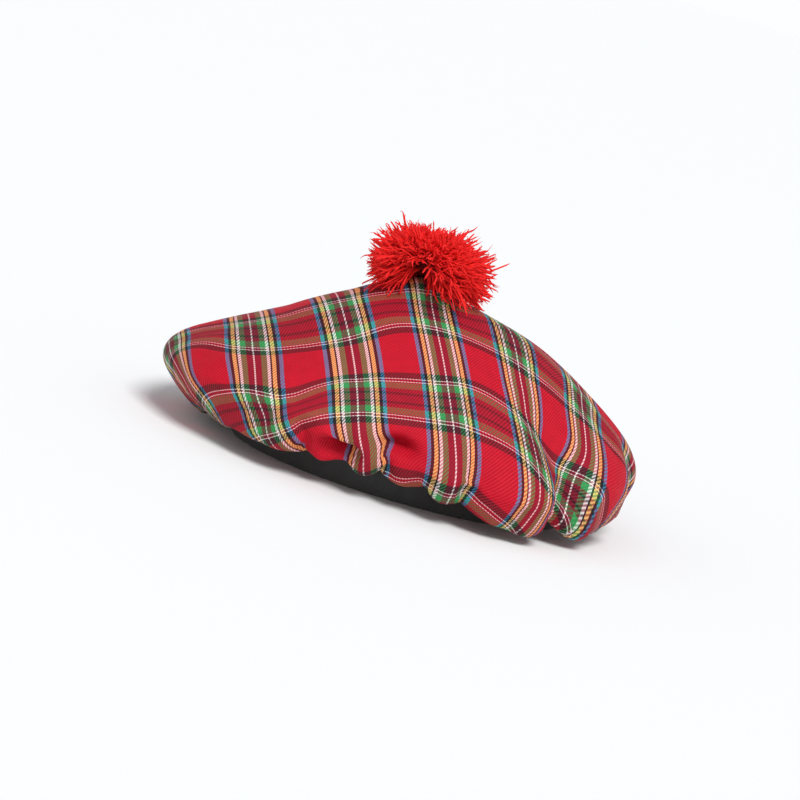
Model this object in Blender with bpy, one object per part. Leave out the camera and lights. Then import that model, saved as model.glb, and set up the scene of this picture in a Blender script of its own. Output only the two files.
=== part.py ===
"""A wide floppy cloth hat: a gathered round crown, an oval headband and a cut-yarn pompom.

Metres, +Z up. The floor is z = 0, the headband's oval is centred on the origin and the
front of the hat faces -Y. The crown is one closed shell with a wall of cloth thickness,
open below where the head goes in.
"""
from collections import namedtuple
from math import atan2, cos, degrees, exp, hypot, pi, radians, sin, sqrt

import bmesh
import bpy
from mathutils import Vector

# Headband
BAND_HALF_WIDTH = 0.102
BAND_HALF_DEPTH = 0.077
BAND_HEIGHT = 0.030
BAND_WALL = 0.0025
BAND_EDGE_ROUND = 0.0006
BAND_SEGMENTS = 72

# Crown
CROWN_RADIUS = 0.148
CROWN_HEIGHT = 0.118
CLOTH_WALL = 0.0014
APEX_X = -0.015
APEX_Y = -0.004
APEX_SHIFT_END = 0.75
GAP = 0.0003
CROWN_COLUMNS = 108
CROWN_ROWS = (0.035, 0.09, 0.16, 0.24, 0.32, 0.40, 0.48, 0.56, 0.63, 0.69, 0.74, 0.785,
              0.825, 0.865, 0.905, 0.94, 0.97, 1.0)
CAP_REACH = 0.36
CAP_DROP = 0.33
NECK_OUT = 0.0035
CORE_REACH = 0.66
CORE_RISE = 0.37
GATHER_COUNT = 27
GATHER_HEIGHT = 0.0035

# Pompom
POMPOM_RADIUS = 0.0410
POMPOM_TOP = 0.031
POMPOM_CORE_SHARE = 0.56
POMPOM_RISE = 0.0065
POMPOM_SEAT_GAP = 0.0010
LOCK_CLEARANCE = 0.0015
LOCK_TAPER = 0.42
LOCK_MIN_LENGTH = 0.003
GOLDEN_ANGLE = pi * (3.0 - sqrt(5.0))

# The crown's upright sections by azimuth. Radii are shares of CROWN_RADIUS and heights
# are shares of CROWN_HEIGHT.
Section = namedtuple("Section", "azimuth shoulder_r shoulder_z rim_r rim_z belly_r belly_z")
SECTIONS = (
    Section(0, 0.515, 0.770, 0.925, 0.280, 0.840, 0.110),
    Section(45, 0.520, 0.745, 0.915, 0.290, 0.820, 0.140),
    Section(90, 0.500, 0.700, 0.900, 0.280, 0.800, 0.140),
    Section(135, 0.530, 0.675, 0.960, 0.250, 0.830, 0.110),
    Section(180, 0.555, 0.660, 1.010, 0.205, 0.805, 0.030),
    Section(225, 0.470, 0.650, 0.850, 0.250, 0.780, 0.090),
    Section(270, 0.405, 0.660, 0.757, 0.220, 0.700, 0.120),
    Section(315, 0.455, 0.700, 0.890, 0.225, 0.835, 0.045),
)

# Share of the cloth's run from the apex to the seam at each point of a section.
KNOTS = (0.0, 0.16, 0.42, 0.77, 0.88, 0.965, 1.0)

# Folds run down the cloth. Half widths are in degrees, depths are shares of
# CROWN_RADIUS, and a fold grows between its start and its full share of the run.
Fold = namedtuple("Fold", "azimuth half_width depth start full")
FOLDS = (
    Fold(317.0, 6.0, 0.095, 0.40, 0.80),
    Fold(293.0, 4.5, 0.052, 0.60, 0.84),
    Fold(278.0, 4.0, 0.046, 0.68, 0.86),
    Fold(265.5, 4.0, 0.044, 0.68, 0.86),
    Fold(254.5, 4.5, 0.080, 0.62, 0.82),
    Fold(243.0, 4.0, 0.044, 0.68, 0.86),
    Fold(216.0, 6.0, 0.040, 0.60, 0.86),
    Fold(194.0, 6.0, 0.048, 0.58, 0.84),
    Fold(172.0, 6.0, 0.048, 0.60, 0.86),
    Fold(151.0, 5.5, 0.040, 0.62, 0.86),
    Fold(129.0, 6.5, 0.060, 0.50, 0.84),
    Fold(107.0, 6.0, 0.040, 0.62, 0.86),
    Fold(84.0, 6.0, 0.054, 0.55, 0.84),
    Fold(61.0, 5.5, 0.040, 0.62, 0.86),
    Fold(38.0, 7.0, 0.060, 0.50, 0.84),
    Fold(14.0, 6.0, 0.040, 0.60, 0.86),
    Fold(352.0, 6.0, 0.048, 0.58, 0.84),
    Fold(334.0, 4.5, 0.048, 0.62, 0.84),
)
FOLD_FADE_START = 0.93
FOLD_FADE_SPAN = 0.05
FOLD_KEPT = 0.15


def clear_scene():
    for item in list(bpy.data.objects):
        bpy.data.objects.remove(item, do_unlink=True)


def smooth_step(value):
    value = min(1.0, max(0.0, value))
    return value * value * (3.0 - 2.0 * value)


def section_at(azimuth):
    """Section values at an azimuth, smooth and periodic through the table's rows."""
    count = len(SECTIONS)
    place = (azimuth % 360.0) / 360.0 * count
    first = int(place) % count
    part = place - int(place)
    rows = [SECTIONS[(first + step) % count] for step in (-1, 0, 1, 2)]
    values = []
    for column in range(1, len(SECTIONS[0])):
        before, start, end, after = (row[column] for row in rows)
        values.append(0.5 * (2.0 * start + (end - before) * part
                             + (2.0 * before - 5.0 * start + 4.0 * end - after) * part ** 2
                             + (3.0 * start - before - 3.0 * end + after) * part ** 3))
    return Section(azimuth, *values)


def band_radius(azimuth):
    """Distance from the centre to the band's outer face at an azimuth."""
    angle = radians(azimuth)
    return 1.0 / hypot(cos(angle) / BAND_HALF_WIDTH, sin(angle) / BAND_HALF_DEPTH)


def profile_points(azimuth):
    """Radii and heights of the section's points, from the apex to the seam."""
    section = section_at(azimuth)
    band = band_radius(azimuth)
    seam_z = BAND_HEIGHT + GAP
    radii = (0.0,
             CAP_REACH * section.shoulder_r * CROWN_RADIUS,
             section.shoulder_r * CROWN_RADIUS,
             section.rim_r * CROWN_RADIUS,
             section.belly_r * CROWN_RADIUS,
             band + NECK_OUT,
             band - BAND_WALL + BAND_EDGE_ROUND)
    heights = (CROWN_HEIGHT,
               (1.0 - (1.0 - section.shoulder_z) * CAP_DROP) * CROWN_HEIGHT,
               section.shoulder_z * CROWN_HEIGHT,
               section.rim_z * CROWN_HEIGHT,
               section.belly_z * CROWN_HEIGHT,
               seam_z - 0.0002,
               seam_z)
    return radii, heights


def curve_slopes(values, first, last):
    """Slopes at the knots for a smooth curve through the values."""
    slopes = [first]
    for index in range(1, len(KNOTS) - 1):
        back = KNOTS[index] - KNOTS[index - 1]
        ahead = KNOTS[index + 1] - KNOTS[index]
        rise_back = (values[index] - values[index - 1]) / back
        rise_ahead = (values[index + 1] - values[index]) / ahead
        slopes.append((rise_ahead * back + rise_back * ahead) / (back + ahead))
    slopes.append(last)
    return slopes


def curve_value(values, slopes, share):
    index = 0
    while index < len(KNOTS) - 2 and share > KNOTS[index + 1]:
        index += 1
    span = KNOTS[index + 1] - KNOTS[index]
    t = (share - KNOTS[index]) / span
    return ((2 * t ** 3 - 3 * t ** 2 + 1) * values[index]
            + (t ** 3 - 2 * t ** 2 + t) * span * slopes[index]
            + (3 * t ** 2 - 2 * t ** 3) * values[index + 1]
            + (t ** 3 - t ** 2) * span * slopes[index + 1])


def plain_point(share, azimuth):
    """Point of the crown's outer face before any fold is pressed into it."""
    radii, heights = profile_points(azimuth)
    start = (radii[1] - radii[0]) / (KNOTS[1] - KNOTS[0])
    end = (radii[-1] - radii[-2]) / (KNOTS[-1] - KNOTS[-2])
    radius = curve_value(radii, curve_slopes(radii, start, end), share)
    height = curve_value(heights, curve_slopes(heights, 0.0, 0.0), share)
    shift = 1.0 - smooth_step(share / APEX_SHIFT_END)
    angle = radians(azimuth)
    return Vector((APEX_X * shift + radius * cos(angle),
                   APEX_Y * shift + radius * sin(angle),
                   height))


def press_direction(share, azimuth):
    """Direction in which a fold presses the face: towards a ring inside the crown."""
    reach = CORE_REACH * section_at(azimuth).rim_r * CROWN_RADIUS
    angle = radians(azimuth)
    core = Vector((reach * cos(angle), reach * sin(angle), CORE_RISE * CROWN_HEIGHT))
    return (core - plain_point(share, azimuth)).normalized()


def fold_depth(share, azimuth):
    """How far the folds press the face inwards, and the small gathers above the seam."""
    depth = 0.0
    fade = smooth_step((share - FOLD_FADE_START) / FOLD_FADE_SPAN)
    kept = 1.0 - fade * (1.0 - FOLD_KEPT)
    for fold in FOLDS:
        away = (azimuth - fold.azimuth + 180.0) % 360.0 - 180.0
        grown = smooth_step((share - fold.start) / (fold.full - fold.start))
        depth += fold.depth * CROWN_RADIUS * grown * kept * exp(-(away / fold.half_width) ** 2)
    rise = smooth_step((share - 0.84) / 0.09) * (1.0 - 0.6 * smooth_step((share - 0.95) / 0.05))
    wave = 0.5 - 0.5 * cos(radians(azimuth * GATHER_COUNT) + 1.3 * sin(radians(azimuth * 5.0)))
    return depth + GATHER_HEIGHT * rise * wave


def outer_point(share, azimuth):
    pressed = press_direction(share, azimuth) * fold_depth(share, azimuth)
    return plain_point(share, azimuth) + pressed


def cloth_normal(share, azimuth):
    """Outward direction of the folded face."""
    low = max(0.01, share - 0.006)
    high = min(1.0, share + 0.006)
    along = outer_point(high, azimuth) - outer_point(low, azimuth)
    around = outer_point(share, azimuth + 0.8) - outer_point(share, azimuth - 0.8)
    return along.cross(around).normalized()


def crown_height_at(x, y):
    """Height of the crown's upper face straight below a point near the apex."""
    low, high = 0.0, 0.55
    azimuth = degrees(atan2(y - APEX_Y, x - APEX_X))
    for _ in range(30):
        share = 0.5 * (low + high)
        point = plain_point(share, azimuth)
        if hypot(point.x - APEX_X, point.y - APEX_Y) < hypot(x - APEX_X, y - APEX_Y):
            low = share
        else:
            high = share
    return plain_point(low, azimuth).z


def add_object(name, mesh, color, roughness):
    material = bpy.data.materials.new(name + "_look")
    material.use_nodes = True
    shader = material.node_tree.nodes["Principled BSDF"]
    shader.inputs["Base Color"].default_value = (*color, 1.0)
    shader.inputs["Roughness"].default_value = roughness
    mesh.materials.append(material)
    item = bpy.data.objects.new(name, mesh)
    bpy.context.scene.collection.objects.link(item)
    return item


def finish_mesh(name, work):
    bmesh.ops.recalc_face_normals(work, faces=work.faces)
    mesh = bpy.data.meshes.new(name)
    work.to_mesh(mesh)
    work.free()
    return mesh


def bridge_rows(work, first, second):
    count = len(first)
    for index in range(count):
        following = (index + 1) % count
        work.faces.new((first[index], first[following], second[following], second[index]))


def build_crown():
    work = bmesh.new()
    azimuths = [360.0 * index / CROWN_COLUMNS for index in range(CROWN_COLUMNS)]
    outer_rows = []
    inner_rows = []
    for share in CROWN_ROWS:
        outer = []
        inner = []
        for azimuth in azimuths:
            point = outer_point(share, azimuth)
            outer.append(work.verts.new(point))
            inner.append(work.verts.new(point - cloth_normal(share, azimuth) * CLOTH_WALL))
        outer_rows.append(outer)
        inner_rows.append(inner)
    apex = Vector((APEX_X, APEX_Y, CROWN_HEIGHT))
    outer_apex = work.verts.new(apex)
    inner_apex = work.verts.new(apex - Vector((0.0, 0.0, CLOTH_WALL)))
    for index in range(CROWN_COLUMNS):
        following = (index + 1) % CROWN_COLUMNS
        work.faces.new((outer_apex, outer_rows[0][index], outer_rows[0][following]))
        work.faces.new((inner_apex, inner_rows[0][following], inner_rows[0][index]))
    for upper, lower in zip(outer_rows, outer_rows[1:]):
        bridge_rows(work, upper, lower)
    for upper, lower in zip(inner_rows, inner_rows[1:]):
        bridge_rows(work, lower, upper)
    bridge_rows(work, outer_rows[-1], inner_rows[-1])
    return add_object("crown", finish_mesh("crown", work), (0.45, 0.03, 0.05), 0.9)


def build_headband():
    work = bmesh.new()
    section = (
        (-BAND_WALL, BAND_EDGE_ROUND),
        (-BAND_WALL + BAND_EDGE_ROUND, 0.0),
        (-BAND_EDGE_ROUND, 0.0),
        (0.0, BAND_EDGE_ROUND),
        (0.0, BAND_HEIGHT - BAND_EDGE_ROUND),
        (-BAND_EDGE_ROUND, BAND_HEIGHT),
        (-BAND_WALL + BAND_EDGE_ROUND, BAND_HEIGHT),
        (-BAND_WALL, BAND_HEIGHT - BAND_EDGE_ROUND),
    )
    rings = []
    for offset, height in section:
        ring = []
        for index in range(BAND_SEGMENTS):
            angle = 2.0 * pi * index / BAND_SEGMENTS
            ring.append(work.verts.new(((BAND_HALF_WIDTH + offset) * cos(angle),
                                        (BAND_HALF_DEPTH + offset) * sin(angle),
                                        height)))
        rings.append(ring)
    for index, ring in enumerate(rings):
        bridge_rows(work, ring, rings[(index + 1) % len(rings)])
    return add_object("headband", finish_mesh("headband", work), (0.02, 0.02, 0.02), 0.95)


def pompom_reach(direction, index):
    """Length from the pompom's centre to a lock's tip along a direction."""
    top = POMPOM_TOP if direction.z > 0.0 else POMPOM_RADIUS
    across = hypot(direction.x, direction.y)
    reach = 1.0 / hypot(across / POMPOM_RADIUS, direction.z / top)
    ragged = 0.94 + 0.06 * sin(index * GOLDEN_ANGLE * 2.7) + 0.05 * sin(index * 1.91 + 0.4)
    return reach * min(1.0, ragged)


def lock_length(face, center, index):
    """Length of the lock on a face of the core, or 0 where the crown leaves it no room."""
    middle = face.calc_center_median()
    if middle.z < crown_height_at(middle.x, middle.y) + LOCK_CLEARANCE:
        return 0.0
    direction = (middle - center).normalized()
    length = pompom_reach(direction, index) - (middle - center).length
    while length > LOCK_MIN_LENGTH:
        tip = middle + direction * length
        if tip.z > crown_height_at(tip.x, tip.y) + LOCK_CLEARANCE:
            return length
        length *= 0.93
    return 0.0


def build_pompom():
    center = Vector((APEX_X, APEX_Y, CROWN_HEIGHT + POMPOM_RISE))
    work = bmesh.new()
    bmesh.ops.create_icosphere(work, subdivisions=3, radius=1.0)
    for vert in work.verts:
        direction = vert.co.normalized()
        top = POMPOM_TOP if direction.z > 0.0 else POMPOM_RADIUS
        flat = Vector((direction.x * POMPOM_RADIUS, direction.y * POMPOM_RADIUS, direction.z * top))
        place = center + flat * POMPOM_CORE_SHARE
        place.z = max(place.z, crown_height_at(place.x, place.y) + POMPOM_SEAT_GAP)
        vert.co = place
    free = [face for face in work.faces if lock_length(face, center, 0) > 0.0]
    tufts = bmesh.ops.extrude_discrete_faces(work, faces=free)["faces"]
    for index, face in enumerate(tufts):
        middle = face.calc_center_median()
        direction = (middle - center).normalized()
        length = max(LOCK_MIN_LENGTH, lock_length(face, center, index))
        target = middle + direction * length
        for vert in face.verts:
            vert.co = target + (vert.co - middle) * LOCK_TAPER
    return add_object("pompom", finish_mesh("pompom", work), (0.62, 0.02, 0.02), 0.9)


clear_scene()
build_crown()
build_headband()
build_pompom()
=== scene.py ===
"""Looks of a wide floppy checked cap: gathered twill crown, oval black headband, cut-yarn pompom.

Metres, +Z up, the front of the cap towards -Y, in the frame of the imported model. The crown is
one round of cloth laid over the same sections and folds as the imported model, and its weave
follows the cloth. The pompom is made of single yarn ends.
"""
import logging
import math
from collections.abc import Callable, Sequence
from dataclasses import dataclass
from enum import Enum
from typing import NamedTuple

import bmesh
import bpy
import numpy as np
from mathutils import Matrix, Vector


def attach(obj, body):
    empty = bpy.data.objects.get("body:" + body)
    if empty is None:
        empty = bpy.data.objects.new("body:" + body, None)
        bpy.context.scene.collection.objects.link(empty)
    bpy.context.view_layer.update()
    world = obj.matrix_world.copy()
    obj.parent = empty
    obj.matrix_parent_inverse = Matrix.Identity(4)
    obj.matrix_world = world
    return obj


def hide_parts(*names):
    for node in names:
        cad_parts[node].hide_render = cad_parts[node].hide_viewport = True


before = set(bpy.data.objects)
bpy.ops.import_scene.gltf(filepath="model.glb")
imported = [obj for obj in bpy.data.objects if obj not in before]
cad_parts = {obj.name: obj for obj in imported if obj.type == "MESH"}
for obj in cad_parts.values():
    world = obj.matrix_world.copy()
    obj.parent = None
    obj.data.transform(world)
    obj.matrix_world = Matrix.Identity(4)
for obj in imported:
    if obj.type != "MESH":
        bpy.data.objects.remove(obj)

LOG = logging.getLogger("cap")
CLOTH_MAP = "cloth"
DEPTH_MAP = "yarn_depth"

Color = tuple[float, float, float]


class Section(NamedTuple):
    """One upright section of the crown; radii and heights as shares of its radius and height."""

    azimuth: float
    shoulder_r: float
    shoulder_z: float
    rim_r: float
    rim_z: float
    belly_r: float
    belly_z: float


class Fold(NamedTuple):
    """One fold down the cloth: angles in degrees, depth as a share of the crown's radius."""

    azimuth: float
    half_width: float
    depth: float
    start: float
    full: float


class Dip(NamedTuple):
    """One soft hollow, or a swelling where its depth is negative; depth in metres."""

    azimuth: float
    share: float
    half_width: float
    half_share: float
    depth: float


class Ripple(NamedTuple):
    """One family of small waves round the crown; height in metres."""

    count: int
    height: float
    start: float
    full: float
    drift: float
    phase: float


class Rise(NamedTuple):
    """A smooth step along the cloth: its height, and its start and span as shares of the run."""

    height: float
    start: float
    span: float

    def at(self, share: np.ndarray) -> np.ndarray:
        """The step's height at shares."""
        return self.height * smooth_step((share - self.start) / self.span)


class Pull(NamedTuple):
    """A place where the folds drew the cloth along: place, reach and shift, in metres and degrees."""

    run: float
    azimuth: float
    reach: float
    shift: float


class Stripe(NamedTuple):
    """One stripe of a check: its yarn and how many threads it holds."""

    yarn: str
    threads: float


SECTIONS = (
    Section(0, 0.515, 0.770, 0.925, 0.280, 0.840, 0.110),
    Section(45, 0.520, 0.745, 0.915, 0.290, 0.820, 0.140),
    Section(90, 0.500, 0.700, 0.900, 0.280, 0.800, 0.140),
    Section(135, 0.530, 0.675, 0.960, 0.250, 0.830, 0.110),
    Section(180, 0.555, 0.660, 1.010, 0.205, 0.805, 0.030),
    Section(225, 0.470, 0.650, 0.850, 0.250, 0.780, 0.090),
    Section(270, 0.405, 0.660, 0.757, 0.220, 0.700, 0.120),
    Section(315, 0.455, 0.700, 0.890, 0.225, 0.835, 0.045),
)
KNOTS = (0.0, 0.16, 0.42, 0.77, 0.88, 0.965, 1.0)
FOLDS = (
    Fold(319.0, 6.0, 0.095, 0.40, 0.80),
    Fold(291.0, 4.5, 0.052, 0.60, 0.84),
    Fold(278.0, 4.0, 0.046, 0.68, 0.86),
    Fold(265.5, 4.0, 0.044, 0.68, 0.86),
    Fold(252.0, 4.5, 0.045, 0.62, 0.82),
    Fold(241.0, 4.0, 0.044, 0.68, 0.86),
    Fold(216.0, 6.0, 0.012, 0.60, 0.86),
    Fold(194.0, 6.0, 0.020, 0.58, 0.84),
    Fold(172.0, 6.0, 0.048, 0.60, 0.86),
    Fold(151.0, 5.5, 0.040, 0.62, 0.86),
    Fold(129.0, 6.5, 0.060, 0.50, 0.84),
    Fold(107.0, 6.0, 0.040, 0.62, 0.86),
    Fold(84.0, 6.0, 0.054, 0.55, 0.84),
    Fold(61.0, 5.5, 0.040, 0.62, 0.86),
    Fold(38.0, 7.0, 0.060, 0.50, 0.84),
    Fold(14.0, 6.0, 0.040, 0.60, 0.86),
    Fold(352.0, 6.0, 0.030, 0.58, 0.84),
    Fold(334.0, 4.5, 0.014, 0.62, 0.84),
)
RIPPLES = (
    Ripple(54, 0.0022, 0.84, 0.94, 0.0, 0.4),
    Ripple(41, 0.0014, 0.70, 0.90, 1.4, 1.9),
    Ripple(23, 0.0010, 0.50, 0.80, 2.2, 0.7),
    Ripple(13, 0.0007, 0.35, 0.70, 1.7, 2.6),
)
WARP_PULLS = (
    Pull(0.131, 337.0, 0.028, 0.009),
    Pull(0.160, 322.0, 0.020, 0.0150),
)
WEFT_PULLS = (
    Pull(0.097, 219.6, 0.022, -0.012),
    Pull(0.127, 208.2, 0.018, -0.009),
    Pull(0.069, 234.5, 0.016, -0.007),
    Pull(0.130, 232.2, 0.014, -0.010),
    Pull(0.170, 208.0, 0.028, 0.018),
    Pull(0.165, 189.0, 0.026, 0.014),
    Pull(0.089, 298.0, 0.020, 0.006),
    Pull(0.153, 317.0, 0.018, -0.014),
    Pull(0.046, 10.0, 0.018, 0.014),
    Pull(0.086, 9.4, 0.034, 0.020),
    Pull(0.180, 347.0, 0.030, 0.018),
)
DIPS = (
    Dip(200.0, 0.84, 14.0, 0.050, 0.0045),
    Dip(232.0, 0.90, 14.0, 0.060, 0.0050),
    Dip(236.0, 0.78, 6.0, 0.050, -0.0020),
    Dip(251.5, 0.802, 4.8, 0.038, 0.0225),
    Dip(264.0, 0.75, 5.0, 0.050, 0.0030),
    Dip(268.5, 0.72, 6.5, 0.058, 0.0195),
    Dip(276.0, 0.90, 14.0, 0.070, 0.0042),
    Dip(286.0, 0.77, 6.0, 0.050, -0.0035),
    Dip(302.0, 0.90, 9.0, 0.070, 0.0065),
    Dip(303.0, 0.76, 7.0, 0.060, -0.0030),
    Dip(312.0, 0.76, 5.0, 0.100, -0.0035),
    Dip(328.0, 0.82, 8.0, 0.040, -0.0030),
    Dip(178.0, 0.175, 20.0, 0.045, -0.0045),
)
SETTLING = {
    "quality": 8, "mass": 0.12, "tension_stiffness": 20.0, "compression_stiffness": 20.0,
    "shear_stiffness": 4.0, "bending_stiffness": 0.25, "tension_damping": 12.0,
    "compression_damping": 12.0, "air_damping": 4.0, "pin_stiffness": 1.0,
}
WARP_STRIPES = (
    Stripe("red", 24),
    Stripe("blue", 5),
    Stripe("black", 4),
    Stripe("yellow", 5),
    Stripe("black", 2),
    Stripe("white", 4),
    Stripe("green", 7),
    Stripe("maroon", 8.5),
    Stripe("white", 1),
)
WEFT_STRIPES = (
    Stripe("red", 27.5),
    Stripe("black", 7.5),
    Stripe("white", 1),
    Stripe("maroon", 3),
    Stripe("white", 1),
    Stripe("maroon", 1.5),
    Stripe("green", 8),
    Stripe("maroon", 5),
    Stripe("black", 3),
    Stripe("maroon", 4.5),
)


class Dye(NamedTuple):
    """A yarn's linear colour, and how strongly it shows as warp and as weft, from 0 to 1."""

    color: Color
    as_warp: float
    as_weft: float


class Yarn(Enum):
    """The check's yarns."""

    red = Dye((0.540, 0.004, 0.020), 0.60, 0.20)
    maroon = Dye((0.190, 0.008, 0.024), 0.50, 0.40)
    blue = Dye((0.045, 0.300, 0.560), 0.39, 0.34)
    black = Dye((0.012, 0.010, 0.012), 0.80, 0.60)
    yellow = Dye((0.950, 0.580, 0.170), 0.62, 0.50)
    white = Dye((0.900, 0.840, 0.800), 0.66, 0.80)
    green = Dye((0.040, 0.300, 0.085), 0.18, 0.20)


def operator(operation: str, reflected: bool = False) -> Callable[..., "Value"]:
    """Make one of a Value's operators.

    Args:
        operation: The Math node's operation.
        reflected: Whether the value stands last.

    Returns:
        The operator's method.
    """
    def apply(value: "Value", *others: "Value | float") -> "Value":
        """Add the Math node."""
        values = (*others, value) if reflected else (value, *others)
        return value.maker.math(operation, *values)
    return apply


@dataclass(frozen=True)
class Value:
    """A number socket that can be used in Python expressions; < gives 1 where it holds, else 0."""

    maker: "NodeMaker"
    socket: bpy.types.NodeSocket

    __add__ = operator("ADD")
    __radd__ = operator("ADD", True)
    __sub__ = operator("SUBTRACT")
    __rsub__ = operator("SUBTRACT", True)
    __mul__ = operator("MULTIPLY")
    __rmul__ = operator("MULTIPLY", True)
    __truediv__ = operator("DIVIDE")
    __mod__ = operator("FLOORED_MODULO")
    __lt__ = operator("LESS_THAN")
    __abs__ = operator("ABSOLUTE")
    floor = operator("FLOOR")


class NodeMaker:
    """Adds nodes to a material or a world."""

    def __init__(self, owner: bpy.types.Material | bpy.types.World) -> None:
        """Start with the owner's plain nodes.

        Args:
            owner: The material or world.
        """
        owner.use_nodes = True
        self.nodes, self.links = owner.node_tree.nodes, owner.node_tree.links

    def make(self, kind: str, settings: dict | None = None, inputs: dict | None = None) -> bpy.types.Node:
        """Add a node.

        Args:
            kind: The node's type name.
            settings: Attributes to set first; "stops" holds a ramp's places and colours.
            inputs: Socket index or name to a value, a Value or another node's socket.

        Returns:
            The new node.
        """
        node = self.nodes.new(kind)
        for key, setting in (settings or {}).items():
            if key == "stops":
                self._set_stops(node.color_ramp, setting)
            elif key == "interpolation":
                node.color_ramp.interpolation = setting
            else:
                setattr(node, key, setting)
        for key, value in (inputs or {}).items():
            self.feed(node.inputs[key], value)
        return node

    def _set_stops(self, ramp: bpy.types.ColorRamp, stops: Sequence[tuple[float, tuple[float, ...]]]) -> None:
        """Fill a ramp.

        Args:
            ramp: A new ramp, which has two stops.
            stops: Places and colours of four numbers.
        """
        for index, (place, color) in enumerate(stops):
            stop = ramp.elements[index] if index < 2 else ramp.elements.new(place)
            stop.position = place
            stop.color = color

    def feed(self, socket: bpy.types.NodeSocket, value: object) -> None:
        """Link or set an input.

        Args:
            socket: The input socket.
            value: A Value, another node's socket or a constant.
        """
        if isinstance(value, Value):
            self.links.new(value.socket, socket)
        elif isinstance(value, bpy.types.NodeSocket):
            self.links.new(value, socket)
        else:
            socket.default_value = value

    def math(self, operation: str, *values: Value | float) -> Value:
        """Add a Math node over values."""
        node = self.make("ShaderNodeMath", {"operation": operation}, dict(enumerate(values)))
        return Value(self, node.outputs[0])

    def mix(self, factor: Value | float, first: object, second: object) -> bpy.types.NodeSocket:
        """Mix two colours.

        Args:
            factor: 0 gives the first colour, 1 the second.
            first: A colour or a socket.
            second: A colour or a socket.

        Returns:
            The mixed colour's socket.
        """
        first = (*first, 1.0) if isinstance(first, tuple) else first
        second = (*second, 1.0) if isinstance(second, tuple) else second
        node = self.make("ShaderNodeMix", {"data_type": "RGBA"}, {0: factor, 6: first, 7: second})
        return node.outputs[2]

    def scale(self, color: object, factor: Value | float) -> bpy.types.NodeSocket:
        """Brighten or darken a colour or a colour's socket by a factor."""
        node = self.make("ShaderNodeVectorMath", {"operation": "SCALE"}, {0: color, 3: factor})
        return node.outputs[0]


class MaterialMaker(NodeMaker):
    """Builds one material round a Principled shader."""

    def __init__(self, name: str) -> None:
        """Start a material of this name."""
        self.material = bpy.data.materials.new(name)
        super().__init__(self.material)
        self.shader = self.nodes["Principled BSDF"]

    def map_axes(self, name: str) -> tuple[bpy.types.NodeSocket, Value, Value]:
        """Read a map of the piece.

        Args:
            name: The map's name.

        Returns:
            The map's socket, and its two numbers.
        """
        lay = self.make("ShaderNodeUVMap", {"uv_map": name})
        split = self.make("ShaderNodeSeparateXYZ", None, {0: lay.outputs[0]})
        return lay.outputs[0], Value(self, split.outputs[0]), Value(self, split.outputs[1])

    def noise(self, scale: float, detail: float) -> Value:
        """Noise over the object's own coordinates.

        Args:
            scale: How many lumps to a metre.
            detail: How much finer noise lies on them.

        Returns:
            The noise, from 0 to 1.
        """
        place = self.make("ShaderNodeTexCoord")
        noise = self.make("ShaderNodeTexNoise", {"noise_dimensions": "3D"},
                          {"Vector": place.outputs["Object"], "Scale": scale, "Detail": detail})
        return Value(self, noise.outputs[0])

    def bump(self, height: Value, strength: float, distance: float) -> None:
        """Feed the shader's normal from a height.

        Args:
            height: The height, in shares of the distance.
            strength: How much of the relief shows, from 0 to 1.
            distance: The relief's depth in metres.
        """
        node = self.make("ShaderNodeBump", None, {"Strength": strength, "Distance": distance,
                                                  "Height": height})
        self.links.new(node.outputs[0], self.shader.inputs["Normal"])

    def finish(self, color: bpy.types.NodeSocket, **settings: float) -> bpy.types.Material:
        """Set the base colour and plain shader settings.

        Args:
            color: The base colour's socket.
            settings: Shader inputs by name, with spaces as underscores.

        Returns:
            The material.
        """
        self.links.new(color, self.shader.inputs["Base Color"])
        for key, value in settings.items():
            self.feed(self.shader.inputs[key.replace("_", " ")], value)
        return self.material


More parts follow.
